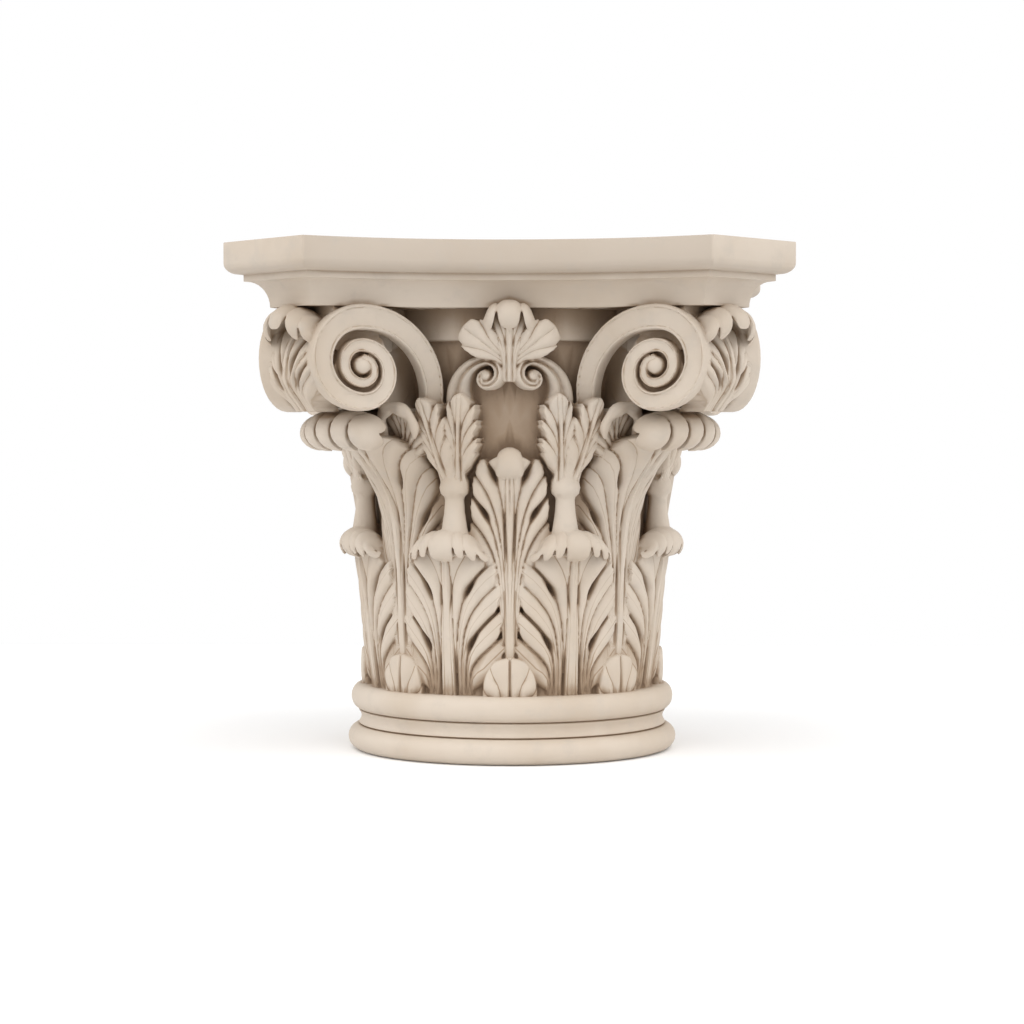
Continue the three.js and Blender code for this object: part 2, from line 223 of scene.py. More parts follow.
# Half a leaf as a grid: w runs from the rib to the lowest leaflet, q from the foot to the rim
def acanthus(name, leaf):
    columns, rows, c = leaf["columns"], leaf["rows"], carving
    length, half = leaf["top"] - leaf["foot"], leaf["half"]
    w = np.linspace(0, 1, columns + 1)[:, None] ** c["crowd"]
    q = np.linspace(0, 1, rows + 1)[None, :]
    ends = [band[0] for band in leaf["bands"]]
    spans = list(zip([0] + ends, ends))

    # flutes rise from the foot and fan out to the rim
    opening = halfPi * (1 - (1 - w) ** c["curl"])
    shoulder = ease(w / c["shoulder"])
    tilt = np.radians(mix(*leaf["tilt"], w)) * shoulder
    dome = np.cos(opening).clip(0) ** leaf.get("dome", c["dome"])
    end = half * np.sin(opening) ** leaf["square"] * shoulder, length * mix(leaf["lowest"], 1, dome)
    start = leaf["footHalf"] * w, 0 * w
    rise = start[0], leaf.get("rise", c["rise"]) * end[1]
    fall = end[0] - leaf["reach"] * np.sin(tilt), end[1] - leaf["reach"] * np.cos(tilt)

    # each leaflet is longest along its upper edge and steps back to the next one
    notches = [c["eyeNotch"] if eye else c["foldNotch"] for _, eye, _ in leaf["bands"][:-1]]
    notches.append(c["lowNotch"])
    cut = np.zeros_like(w)
    for (a, b), notch in zip(spans, notches):
        t = ((w - a) / (b - a)).clip(0, 1)
        scallop = c["scallop"] * np.abs(np.sin(pi * c["scallops"] * t)) * (a > 0)
        step = c["tipRound"] * (a > 0) * (1 - t) ** 6 + notch * t ** 2.5 - scallop
        cut = np.where((w > a) & (w <= b), step, cut)
    cut = cut + leaf.get("cleft", 0) * hump(w, c["cleftWidth"])
    x, y = bezier(start, rise, fall, end, q * (1 - cut * leaf.get("notch", 1) / np.hypot(*end).clip(1)))

    # true distances across and along the flutes
    dx, dy = np.gradient(x, w[:, 0], axis=0), np.gradient(y, w[:, 0], axis=0)
    tx, ty = np.gradient(x, axis=1), np.gradient(y, axis=1)
    step = np.hypot(tx, ty) + 1e-9
    wide = np.abs(dx * ty - dy * tx) / step
    gone = np.cumsum(step, axis=1)
    left = gone[:, -1:] - gone

    # flutes swell between their creases, the leaflets towards their upper edges
    share = np.clip(y / length, 0, 1)
    sunk = mix(*leaf["crown"], share ** 2) * (x / half) ** 2
    depth = leaf.get("depth", 1)
    crease, spacing, room, passed = np.zeros_like(x), np.zeros_like(x), np.zeros_like(x), 0
    for (a, b), (_, _, flutes) in zip(spans, leaf["bands"]):
        inside = (w >= a) & (w <= b)
        t = (w - a) / (b - a) * flutes
        fluteWidth = wide * (b - a) / flutes
        veins = leaf.get("veins", 1) if a > 0 else 1
        crease = np.where(inside, passed + t * veins, crease)
        spacing = np.where(inside, fluteWidth / veins, spacing)
        room = np.where(inside, fluteWidth, room)
        passed += flutes * veins
        t = t % 1
        swell = depth * np.minimum(c["swell"] * fluteWidth, c["swellMost"])
        sunk = np.where(inside, sunk - swell * (4 * t * (1 - t) if a == 0 else 1.4 * t * (1 - t ** 5)), sunk)

    # folds between the bands, drilled eyes with a slit to the rim, the rib and the rounded edges
    least, most = c["foldRoom"]
    fold = depth * c["fold"] * ease((room - least) / (most - least)) * ease(q / c["foldStart"])
    for at, eye, _ in leaf["bands"][:-1]:
        away = (w - at) * wide
        groove = fold * hump(away, c["foldWidth"])
        if eye:
            lift = gone - gone[np.argmin(np.abs(w - at)), round(eye * rows)]
            sunk = sunk + c["eye"] * hump(away, c["eyeWidth"]) * hump(lift, c["eyeLength"])
            sunk = sunk + c["slit"] * hump(away, c["slitWidth"]) * ease(lift / c["slitFade"])
            groove = groove * ease(1 - lift / c["slitFade"])
        sunk = sunk + groove
    ribHalf = mix(*leaf["rib"], q ** 0.8)
    besideRib = x - ribHalf - c["ribGap"]
    sunk = sunk - depth * c["ribRise"] * ease((ribHalf - x) / c["ribEdge"] + 0.5)
    sunk = sunk + depth * c["ribGroove"] * hump(besideRib, c["ribGrooveWidth"]) * ease((1 - q) / c["ribEnd"])
    for margin in (left, (1 - w) * wide):
        sunk = sunk + c["edge"] * (1 - np.sqrt(1 - (1 - margin / c["edge"]).clip(0, 1) ** 2))

    middle = along(leaf["spine"], share)
    front = middle - sunk
    behind = bellRadius(leaf["foot"] + y) - c["sunkIn"]
    if "thickness" in leaf:
        behind = np.maximum(behind, middle - leaf["thickness"])
    behind = np.minimum(behind, front - c["least"])
    centre, backRows, turn = columns + 2, c["backRows"], leaf.get("turn", 0)

    def spot(radius, column, row, side):
        across, up = side * (1 + side * leaf.get("uneven", 0)) * x[column, row], y[column, row]
        angle = leaf["angle"] + leaf.get("lean", 0) * share[column, row]
        aside = across * math.cos(turn) + up * math.sin(turn)
        z = leaf["foot"] + up * math.cos(turn) - across * math.sin(turn)
        return polar(radius, angle + aside / middle[column, row], z)

    def place(i, j):
        away = np.abs(i - centre)
        column = np.minimum(away, columns)
        back = (j > rows) | (away > columns)
        backRow = np.rint(rows * (1 - (j - rows - 1) / (backRows - 1)))
        row = np.where(j > rows, backRow, j).astype(int)
        row = np.where(away > columns + 1, rows // 2, row)
        radius = np.where(back, behind[column, row], front[column, row])
        return spot(radius, column, row, np.sign(i - centre))

    column, row = (grid.ravel() for grid in np.indices(x.shape))
    for side in (-1, 1):
        noteCreases(spot(front[column, row], column, row, side),
                    crease[column, row], spacing[column, row], besideRib[column, row])
    return skin(name, 2 * centre, rows + 1 + backRows, place)


# Curled tip of a leaf: it rolls forward over its own thickness and its edge parts into round fingers
curl = {"start": rad(155), "lastEdge": 1.2, "taper": 0.15, "least": 1.5,
        "loops": 150, "points": 72, "outer": 43}


def curledTip(name, tip):
    loops, points, outer = curl["loops"], curl["points"], curl["outer"]
    parted = rad(tip["slitEnd"])
    edges = np.array([-tip["slits"][0], *tip["slits"], curl["lastEdge"]])

    def place(i, j):
        s = 2 * i / loops - 1
        finger = np.searchsorted(tip["slits"], np.abs(s))
        near, far = edges[finger], edges[finger + 1]
        lobe = np.sqrt((1 - np.abs((2 * np.abs(s) - near - far) / (far - near)) ** 3).clip(0))
        last = np.radians(np.array(tip["lasts"])[finger])
        onOuter = j < outer
        t = np.where(onOuter, j / (outer - 1), 1 - (j - outer + 1) / (points - outer + 1))
        theta = mix(curl["start"], mix(parted, last, lobe), t)
        size = (1 - curl["taper"] * s ** 2) * np.sqrt((1 - s ** 8).clip(0))
        size = size * (1 - tip["cut"] * ease(t * 2.5) * (1 - lobe))
        thick = tip["thickness"] * np.sqrt(np.clip(1.02 - t ** 4, 0, 1)) * mix(0.5, 1, lobe)
        out, up = size * tip["reach"], size * tip["rise"]
        out = np.where(onOuter, out, np.maximum(out - thick, curl["least"]))
        up = np.where(onOuter, up, np.maximum(up - thick, curl["least"]))
        radius = tip["radius"] - 0.6 * tip["droop"] * s ** 2 + out * np.cos(theta)
        z = tip["z"] - tip["droop"] * s ** 2 + up * np.sin(theta)
        aside = tip["half"] * s * (1 - tip["gather"] * (1 + np.sin(theta)) / 2)
        return polar(radius, tip["angle"] + aside / tip["radius"], z)

    return skin(name, loops, points, place)


# Thick lobed rim of the cupped leaf beside the corner leaf
hoodRim = {"angle": rad(34.4), "radius": 186, "z": 317, "across": 19, "up": 19, "lean": 7, "from": rad(-50),
           "to": rad(215), "thick": 6, "lobeDepth": 0.16, "lobeWaves": 6, "steps": 60, "round": 20}


def makeHoodRim():
    h = hoodRim
    steps, count = h["steps"], h["round"]

    def place(i, j):
        sweep = mix(h["from"], h["to"], i / steps)
        lobe = 1 + h["lobeDepth"] * np.cos(h["lobeWaves"] * sweep)
        thick = h["thick"] * np.sin(pi * i / steps) ** 0.4 * lobe
        turn = 2 * pi * j / count
        out = 1 + thick * np.cos(turn) / h["up"]
        radius = h["radius"] + h["lean"] * np.sin(sweep) + thick * np.sin(turn)
        return polar(radius, h["angle"] + h["across"] * out * np.cos(sweep) / h["radius"],
                     h["z"] + h["up"] * out * np.sin(sweep))

    return skin("hoodRim", steps, count, place)


# Vase-shaped sheath with two serrated leaves opening out of it
sheath = {"angle": rad(20), "radius": 152, "collar": 268, "lean": 0.36,
          "profile": [(196, 17), (208, 15), (222, 12.2), (238, 9.8), (250, 9), (253, 10),
                      (255, 13), (261, 14.4), (267, 13), (270, 10), (290, 8), (318, 5)],
          "steps": 80, "round": 32}
innerCalyx = {"angle": rad(18), "turn": rad(-7), "uneven": -0.1, "foot": 262, "top": 350,
              "spine": [157, 169, 178, 184], "footHalf": 8, "half": 16, "lowest": 0.3, "square": 0.6,
              "tilt": (24, 40), "reach": 30, "crown": (2, 5), "rib": (1.6, 1), "depth": 0.7, "thickness": 34,
              "bands": [(0.32, 0, 1), (0.56, 0, 1), (0.78, 0, 1), (1, 0, 1)], "columns": 100, "rows": 90}
outerCalyx = dict(innerCalyx, angle=rad(22.2), turn=rad(11), uneven=-0.3, half=14, top=347,
                  spine=[157, 170, 180, 187])


def makeSheath():
    heights = np.array([p[0] for p in sheath["profile"]])
    radii = np.array([p[1] for p in sheath["profile"]])
    steps = sheath["steps"]

    def place(i, j):
        z = mix(heights[0], heights[-1], i / steps)
        out = np.where((i == 0) | (i == steps), 0, np.interp(z, heights, radii))
        turn = 2 * pi * j / sheath["round"]
        radius = sheath["radius"] + sheath["lean"] * np.maximum(z - sheath["collar"], 0)
        return polar(radius, sheath["angle"], z) + polar(out, turn, 0)

    return skin("sheath", steps, sheath["round"], place)


# Scrolls: a strip rises as a quarter circle and winds in by half circles, each smaller than the last
volute = {"x": 132, "depth": 213, "turn": rad(25), "top": 430, "stemRadius": 90, "firstRadius": 49,
          "shrink": 0.68, "width": 24, "footWidth": 19, "narrow": 0.72, "thickness": 20, "bendBack": 26,
          "stem": 1, "drop": 45, "halfTurns": 4, "knob": 9,
          "crown": 0, "dish": 2.6, "groove": 0, "sharp": 0.3}
helix = {"x": 23, "depth": 172, "turn": rad(-20), "top": 385, "stemRadius": 42, "firstRadius": 16.5,
         "shrink": 0.6, "width": 10, "footWidth": 25, "narrow": 0.8, "thickness": 22, "bendBack": 2,
         "stem": -1, "drop": 45, "halfTurns": 2, "knob": 5.6,
         "crown": 2, "dish": 0, "groove": 5, "sharp": 0.45}
scrollSteps = {"foot": 4, "stem": 16, "halfTurn": 18, "round": 44, "footBack": 14, "grooveWidth": 0.22,
               "rim": 0.8, "rimStep": 0.12, "rimLine": 0.7, "lineSpots": 41}
scrollEye = {"tall": 24, "round": 32, "blunt": 0.8, "proud": 1.5}


def scrollPoint(scroll, sideways, z, level):
    turn = scroll["turn"]
    x = scroll["x"] - scroll["stem"] * math.cos(turn) * sideways + math.sin(turn) * level
    y = -scroll["depth"] + scroll["stem"] * math.sin(turn) * sideways + math.cos(turn) * level
    return np.stack(np.broadcast_arrays(x, y, z), axis=-1)


# How far the face lies behind its rims, at a share of the half width from the middle of the strip
def channel(scroll, across):
    return scroll["dish"] * ease((scrollSteps["rim"] - np.abs(across)) / scrollSteps["rimStep"])


def scrollStrip(name, scroll):
    stations, footSteps = [], scrollSteps["foot"]
    foot = scroll["top"] - scroll["stemRadius"]
    for k in range(footSteps):
        toGo = 1 - k / footSteps
        stations.append((-0.5, scroll["stemRadius"], foot - scroll["drop"] * toGo,
                         scroll["bendBack"] + scrollSteps["footBack"] * toGo, scroll["footWidth"]))
    for k in range(scrollSteps["stem"] + 1):
        toGo = 1 - k / scrollSteps["stem"]
        stations.append((-toGo / 2, scroll["stemRadius"], foot, scroll["bendBack"] * toGo ** 1.5,
                         mix(scroll["width"], scroll["footWidth"], toGo)))
    centre, radius = scroll["top"] - scroll["firstRadius"], scroll["firstRadius"]
    for half in range(scroll["halfTurns"]):
        for k in range(1, scrollSteps["halfTurn"] + 1):
            angle = half + k / scrollSteps["halfTurn"]
            stations.append((angle, radius, centre, 0, scroll["width"] * scroll["narrow"] ** angle))
        shift = radius * (1 - scroll["shrink"])
        centre += shift if half % 2 else -shift
        radius *= scroll["shrink"]
    angle, radius, centreZ, back, width = (np.array(column) for column in zip(*stations))
    last, count = len(stations) - 1, scrollSteps["round"]

    def spot(k, across, level):
        r = radius[k] - width[k] / 2 * (1 - across)
        return scrollPoint(scroll, -r * np.sin(pi * angle[k]), centreZ[k] + r * np.cos(pi * angle[k]),
                           back[k] + level)

    def place(i, j):
        k = np.clip(i - 1, 0, last)
        pole = (i == 0) | (i == last + 2)
        theta = 2 * pi * j / count
        across = np.sign(np.cos(theta)) * np.abs(np.cos(theta)) ** scroll["sharp"]
        through = np.sign(np.sin(theta)) * np.abs(np.sin(theta)) ** scroll["sharp"]
        face = scroll["crown"] * across ** 2 + channel(scroll, across)
        face = (through > 0.5) * (face + scroll["groove"] * hump(across, scrollSteps["grooveWidth"]))
        level = np.where(pole, 0.5, (1 - through) / 2) * scroll["thickness"] + np.where(pole, 0, face)
        return spot(k, np.where(pole, 0, across), level)

    # a dark line, partly wash and partly painted shade, runs along the step between rim and channel
    if scroll["dish"]:
        sides = np.linspace(-1, 1, scrollSteps["lineSpots"])
        k, across = (grid.ravel() for grid in np.meshgrid(np.arange(last + 1), sides))
        noteCreases(spot(k, across, channel(scroll, across)),
                    1 + (np.abs(across) - scrollSteps["rimLine"]) / 2, width[k], np.full(len(k), 99))
    return skin(name, last + 2, count, place), centre


def scrollKnob(name, scroll, z):
    e = scrollEye

    def place(i, j):
        tall, turn = pi * i / e["tall"], 2 * pi * j / e["round"]
        out = scroll["knob"] * np.sin(tall) ** e["blunt"]
        level = (scroll["thickness"] + e["proud"]) / 2 * (1 - np.cos(tall)) - e["proud"]
        return scrollPoint(scroll, out * np.cos(turn), z + out * np.sin(turn), level)

    return skin(name, e["tall"], e["round"], place)


# Drum between the two volutes of a corner, the floor of their channels and the stone behind
drum = {"floorInset": 10, "floorRadius": 26, "floorHeight": 366, "floorRings": 3, "inset": 19, "radius": 45,
        "slack": 0.32, "slackSpread": 1.5, "waist": 40, "height": 381, "steps": 24, "round": 72,
        "blocks": [(120, 218, 24, 336), (190, 262, 36, 388)]}
drumLeaf = {"angle": rad(45), "foot": 332, "top": 414, "spine": [268, 289, 286, 268], "footHalf": 14,
            "half": 34, "lowest": 0.3, "square": 0.7, "tilt": (30, 40), "reach": 26, "crown": (9, 3),
            "rib": (2.4, 2), "notch": 0.7, "thickness": 34, "depth": 0.8,
            "bands": [(0.3, 0.5, 2), (0.52, 0, 1), (0.68, 0.5, 1), (0.86, 0, 1), (1, 0, 1)],
            "columns": 90, "rows": 70}
drumTip = {"angle": rad(45), "radius": 281, "z": 413, "half": 34, "reach": 23, "rise": 17, "droop": 12,
           "slits": (0.36, 0.72), "slitEnd": 80, "lasts": (-25, -55, -85), "cut": 0.25,
           "thickness": 9, "gather": 0.15}


def makeDrum():
    d = drum
    steps, floor = d["steps"], d["floorRings"]

    def place(i, j):
        fromEnd = np.minimum(i, steps - i)
        share = np.clip((i - floor) / (steps - 2 * floor), 0, 1)
        out = mix(d["radius"], d["waist"], np.sin(pi * share))
        out = np.where(fromEnd < floor, d["floorRadius"] * (fromEnd > 0), out)
        z = np.where(fromEnd < floor, d["floorHeight"], d["height"])
        inset = np.where(fromEnd < floor - 1, d["floorInset"], d["inset"])
        turn = 2 * pi * j / d["round"]
        out = out * (1 - d["slack"] * ease(d["slackSpread"] * np.cos(turn)))
        near = scrollPoint(volute, out * np.cos(turn), z + out * np.sin(turn), inset)
        far = np.stack([-near[:, 1], -near[:, 0], near[:, 2]], axis=-1)
        return mix(near, far, share[:, None])

    return skin("drum", steps, d["round"], place)


# Each block is (nearest and furthest from the axis, half its width, its underside)
def makeBlocks():
    made = []
    for near, far, half, foot in drum["blocks"]:
        deselect()
        tall = bell["lipTop"] - foot
        centre = polar((near + far) / 2, rad(45), foot + tall / 2)
        bpy.ops.mesh.primitive_cube_add(size=1, location=centre * mm, rotation=(0, 0, rad(45)))
        block = bpy.context.object
        block.scale = (2 * half * mm, (far - near) * mm, tall * mm)
        bpy.ops.object.transform_apply(location=True, rotation=True, scale=True)
        made.append(block)
    return made


# Fleuron in the middle of each side: a fluted stem, two side leaves and a curled cap
fleuronStem = {"angle": 0, "foot": 360, "top": 432, "spine": [172, 182, 188, 190], "footHalf": 6,
               "half": 22, "lowest": 0.75, "square": 0.8, "tilt": (20, 26), "reach": 30, "crown": (2, 6),
               "rib": (1.6, 2.6), "notch": 0.5, "thickness": 40, "depth": 0.6,
               "bands": [(0.33, 0, 1), (0.66, 0, 1), (1, 0, 1)], "columns": 70, "rows": 60}
fleuronCap = {"angle": 0, "radius": 186, "z": 421, "half": 26, "reach": 15.5, "rise": 14, "droop": 5,
              "slits": (0.47,), "slitEnd": 110, "lasts": (-70, -85), "cut": 0.28,
              "thickness": 9, "gather": 0.15}
fleuronLeaf = {"angle": rad(0.8), "turn": rad(53), "foot": 379, "top": 431, "spine": [174, 186, 192, 190],
               "footHalf": 6, "half": 16, "lowest": 0.5, "square": 0.6, "tilt": (14, 24), "reach": 20,
               "crown": (2, 3), "rib": (-1.2, -1.2), "notch": 0.5, "thickness": 30, "depth": 0.5,
               "bands": [(0.5, 0, 1), (1, 0, 1)], "columns": 60, "rows": 60}


# Everything in one eighth of the round is joined, merged to one skin and cut at the two planes of symmetry
merging = {"voxel": 0.9, "smooth": 0.5, "smoothTimes": 1, "triangles": 21500, "snap": 1.4, "weld": 0.02}


def makeEighth():
    parts = [makeBell(), makeSheath(), makeDrum(), makeHoodRim(), *makeBlocks()]
    for name, leaf in (("lowerLeaf", lowerLeaf), ("faceLeaf", faceLeaf), ("cornerLeaf", cornerLeaf),
                       ("innerCalyx", innerCalyx), ("outerCalyx", outerCalyx), ("drumLeaf", drumLeaf),
                       ("fleuronStem", fleuronStem), ("fleuronLeaf", fleuronLeaf), ("bud", bud),
                       ("cornerBud", cornerBud), ("hoodLeaf", hoodLeaf)):
        parts.append(acanthus(name, leaf))
    for name, tip in (("lowerTip", lowerTip), ("faceTip", faceTip), ("cornerTip", cornerTip),
                      ("drumTip", drumTip), ("fleuronCap", fleuronCap)):
        parts.append(curledTip(name, tip))
    for name, scroll in (("volute", volute), ("helix", helix)):
        strip, eye = scrollStrip(name, scroll)
        parts += [strip, scrollKnob(name + "Knob", scroll, eye)]
    print("carving:", len(parts), "forms")
    pick(*parts)
    bpy.ops.object.join()
    eighth = bpy.context.object
    eighth.name = "eighth"
    applied(eighth, "REMESH", mode="VOXEL", voxel_size=merging["voxel"] * mm)
    applied(eighth, "SMOOTH", factor=merging["smooth"], iterations=merging["smoothTimes"])
    print("merged skin:", len(eighth.data.polygons), "faces")
    return eighth


def cutEighth(eighth):
    for normal in ((-1, 0, 0), (1, 1, 0)):
        pick(eighth)
        bpy.ops.object.mode_set(mode="EDIT")
        bpy.ops.mesh.select_all(action="SELECT")
        bpy.ops.mesh.bisect(plane_co=(0, 0, 0), plane_no=normal, clear_outer=True, threshold=1e-6)
        bpy.ops.object.mode_set(mode="OBJECT")
    eighth.data.calc_loop_triangles()
    ratio = merging["triangles"] / len(eighth.data.loop_triangles)
    applied(eighth, "DECIMATE", ratio=min(1, ratio), use_collapse_triangulate=True)
    pick(eighth)
    bpy.ops.object.mode_set(mode="EDIT")
    bpy.ops.mesh.select_mode(type="VERT")
    bpy.ops.mesh.select_all(action="DESELECT")
    bpy.ops.mesh.select_non_manifold(extend=False, use_wire=False, use_boundary=True, use_multi_face=False,
                                     use_non_contiguous=False, use_verts=False)
    bpy.ops.object.mode_set(mode="OBJECT")
    co = readPoints(eighth)
    edge = np.zeros(len(co), bool)
    eighth.data.vertices.foreach_get("select", edge)
    snap = merging["snap"] * mm
    toFace = edge & (np.abs(co[:, 0]) < snap)
    toCorner = edge & (np.abs(co[:, 0] + co[:, 1]) < snap)
    co[toFace, 0] = 0
    between = (co[toCorner, 0] - co[toCorner, 1]) / 2
    co[toCorner, 0], co[toCorner, 1] = between, -between
    writePoints(eighth, co)

    # a face that lies in a cut would meet its own mirror image
    corners = np.empty(len(eighth.data.loops), int)
    eighth.data.loops.foreach_get("vertex_index", corners)
    corners = corners.reshape(-1, 3)
    flat = toFace[corners].all(axis=1) | toCorner[corners].all(axis=1)
    pick(eighth)
    bpy.ops.object.mode_set(mode="EDIT")
    bpy.ops.mesh.select_mode(type="FACE")
    bpy.ops.mesh.select_all(action="DESELECT")
    bpy.ops.object.mode_set(mode="OBJECT")
    eighth.data.polygons.foreach_set("select", flat)
    bpy.ops.object.mode_set(mode="EDIT")
    bpy.ops.mesh.delete(type="FACE")
    bpy.ops.mesh.select_all(action="SELECT")
    bpy.ops.mesh.delete_loose(use_verts=True, use_edges=True, use_faces=False)
    bpy.ops.object.mode_set(mode="OBJECT")
    strays = edge & ~toFace & ~toCorner
    print("eighth:", len(eighth.data.polygons), "triangles,", strays.sum(), "stray points,",
          flat.sum(), "flat faces taken out")
    return eighth


def copyOf(piece):
    pick(piece)
    bpy.ops.object.duplicate()
    return bpy.context.object


# Eight eighths, every second one mirrored, joined to the whole round
def makeRound(eighth):
    mirrored = copyOf(eighth)
    co = readPoints(mirrored)
    co[:, 0] *= -1
    writePoints(mirrored, co)
    mirrored.data.flip_normals()
    wedges = [eighth, mirrored]
    for side in (1, 2, 3):
        turn = side * halfPi
        for piece in (eighth, mirrored):
            copy = copyOf(piece)
            co = readPoints(copy)
            x, y = co[:, 0].copy(), co[:, 1].copy()
            co[:, 0] = round(math.cos(turn)) * x - round(math.sin(turn)) * y
            co[:, 1] = round(math.sin(turn)) * x + round(math.cos(turn)) * y
            writePoints(copy, co)
            wedges.append(copy)
    pick(*wedges)
    bpy.ops.object.join()
    carved = bpy.context.object
    bpy.ops.object.mode_set(mode="EDIT")
    bpy.ops.mesh.select_all(action="SELECT")
    bpy.ops.mesh.remove_doubles(threshold=merging["weld"] * mm)
    bpy.ops.mesh.normals_make_consistent(inside=False)
    bpy.ops.object.mode_set(mode="OBJECT")
    print("round:", len(carved.data.polygons), "faces")
    return carved


# Base ring of two tori with a hollow between them
ring = {"foot": 151, "lower": 12.5, "upper": 9.4, "torus": 24.4, "torusSteps": 13, "fillet": 1.5,
        "scotia": 15.6, "scotiaOut": 2, "scotiaDepth": 2.5, "scotiaSteps": 9, "segments": 144}
ringTop = 2 * ring["torus"] + ring["scotia"]


def makeRing():
    r = ring
    half = r["torus"] / 2

    def torus(out, middle):
        return [(r["foot"] + out * math.cos(t), middle + half * math.sin(t))
                for t in np.linspace(-halfPi, halfPi, r["torusSteps"])]

    low, high = r["torus"] + r["fillet"], r["torus"] + r["scotia"] - r["fillet"]
    hollow = [(r["foot"] + r["scotiaOut"] - r["scotiaDepth"] * math.sin(pi * s), mix(low, high, s))
              for s in np.linspace(0, 1, r["scotiaSteps"])]
    profile = torus(r["lower"], half) + hollow + torus(r["upper"], ringTop - half)
    radius = np.array([0] + [p[0] for p in profile] + [0])
    z = np.array([0] + [p[1] for p in profile] + [ringTop])
    return outward(skin("ring", len(radius) - 1, r["segments"],
                        lambda i, j: polar(radius[i], 2 * pi * j / r["segments"], z[i])))


# Abacus with four hollow sides and cut corners: cavetto, fillet and quarter-round slab
abacus = {"sideRadius": 348, "sideCentre": 560, "chamferReach": 447, "soffit": 428, "soffitInset": 34,
          "fillet": 452, "filletInset": 14.5, "slab": 458.5, "slabEdge": 468.5, "step": 3.5, "top": 488,
          "cavettoStep": 2.2, "cavettoSteps": 10, "slabSteps": 9, "sideSteps": 28,
          "bevel": 0.6, "bevelAngle": rad(35)}


def makeAbacus():
    a = abacus
    slabInset = a["filletInset"] - a["step"]
    cavetto = a["filletInset"] + a["cavettoStep"]
    profile = [(mix(a["soffitInset"], cavetto, 1 - math.cos(t)), mix(a["soffit"], a["fillet"], math.sin(t)))
               for t in np.linspace(0, halfPi, a["cavettoSteps"])]
    profile += [(a["filletInset"], a["fillet"]), (a["filletInset"], a["slab"])]
    profile += [(slabInset * (1 - math.sin(t)), mix(a["slabEdge"], a["slab"], math.cos(t)))
                for t in np.linspace(0, halfPi, a["slabSteps"])]
    profile.append((0, a["top"]))
    inset = np.array([0] + [p[0] for p in profile] + [0])
    z = np.array([a["soffit"]] + [p[1] for p in profile] + [a["top"]])
    perSide, last = a["sideSteps"] + 1, len(profile) + 1

    def place(i, j):
        radius = a["sideRadius"] + inset[i]
        gap = a["sideCentre"] - a["chamferReach"] + math.sqrt(2) * inset[i]
        corner = (np.sqrt(2 * radius ** 2 - gap ** 2) - gap) / 2
        sweep = np.arcsin(corner / radius) * (2 * (j % perSide) / a["sideSteps"] - 1)
        x, y = radius * np.sin(sweep), radius * np.cos(sweep) - a["sideCentre"]
        turn = (j // perSide) * halfPi
        inner = (i > 0) & (i < last)
        return np.stack([inner * (x * np.cos(turn) - y * np.sin(turn)),
                         inner * (x * np.sin(turn) + y * np.cos(turn)), z[i]], axis=-1)

    piece = outward(skin("abacus", last, 4 * perSide, place))
    return applied(piece, "BEVEL", width=a["bevel"] * mm, segments=2, limit_method="ANGLE",
                   angle_limit=a["bevelAngle"])


def unite(piece, other):
    pick(piece)
    m = piece.modifiers.new("union", "BOOLEAN")
    m.operation, m.solver, m.object = "UNION", "MANIFOLD", other
    bpy.ops.object.modifier_apply(modifier=m.name)
    bpy.data.objects.remove(other, do_unlink=True)
    return piece


# Crumbs and closed pockets left by the merging go, the stone itself stays
def withoutCrumbs(piece):
    pick(piece)
    bpy.ops.object.mode_set(mode="EDIT")
    bpy.ops.mesh.select_all(action="SELECT")
    bpy.ops.mesh.separate(type="LOOSE")
    bpy.ops.object.mode_set(mode="OBJECT")
    *crumbs, body = sorted(bpy.context.selected_objects, key=lambda o: len(o.data.vertices))
    print("crumbs dropped:", len(crumbs), "with", sum(len(o.data.vertices) for o in crumbs), "points")
    for crumb in crumbs:
        bpy.data.objects.remove(crumb, do_unlink=True)
    body.name = "corinthian_capital_stone"
    return body


# Brown in the hollows, partly the stone's own wash and partly painted shade, goes where little light
# reaches.
# How far a point is hidden from the open, shut in by its neighbours or down on the bell is kept on the
# points, with the creases of the leaves. One eighth is worked out and the others take it over
washAndShadeSetup = {"rays": 40, "far": 70, "near": 12, "lift": 0.4, "ground": 14, "aboveRing": 2, "onLeaf": (0.8, 2.4)}


# Distance to the next stone along rays spread evenly over the open half of the sky
def lookOut(piece, here, normal):
    tree = BVHTree.FromObject(piece, bpy.context.evaluated_depsgraph_get())
    k = np.arange(washAndShadeSetup["rays"]) + 0.5
    rise = np.sqrt(1 - k / washAndShadeSetup["rays"])
    spin = k * pi * (3 - math.sqrt(5))
    out = np.sqrt(1 - rise ** 2)
    helper = np.where(np.abs(normal[:, 2:]) < 0.9, [[0, 0, 1]], [[1, 0, 0]])
    sideA = np.cross(helper, normal)
    sideA /= np.linalg.norm(sideA, axis=1, keepdims=True)
    sideB = np.cross(normal, sideA)
    origins = (here + normal * washAndShadeSetup["lift"] * mm).tolist()
    far = washAndShadeSetup["far"] * mm
    seen = np.full((len(here), washAndShadeSetup["rays"]), far)
    for r in range(washAndShadeSetup["rays"]):
        rays = normal * rise[r] + sideA * out[r] * math.cos(spin[r]) + sideB * out[r] * math.sin(spin[r])
        for n, (origin, ray) in enumerate(zip(origins, rays.tolist())):
            distance = tree.ray_cast(origin, ray, far)[3]
            if distance is not None:
                seen[n, r] = distance
    return seen


# Which of the known points is nearest to each of the others, and how far away
def nearest(known, others):
    tree = KDTree(len(known))
    for n, point in enumerate(known.tolist()):
        tree.insert(point, n)
    tree.balance()
    found = [tree.find(point) for point in others.tolist()]
    return np.array([n for _, n, _ in found]), np.array([distance for _, _, distance in found])


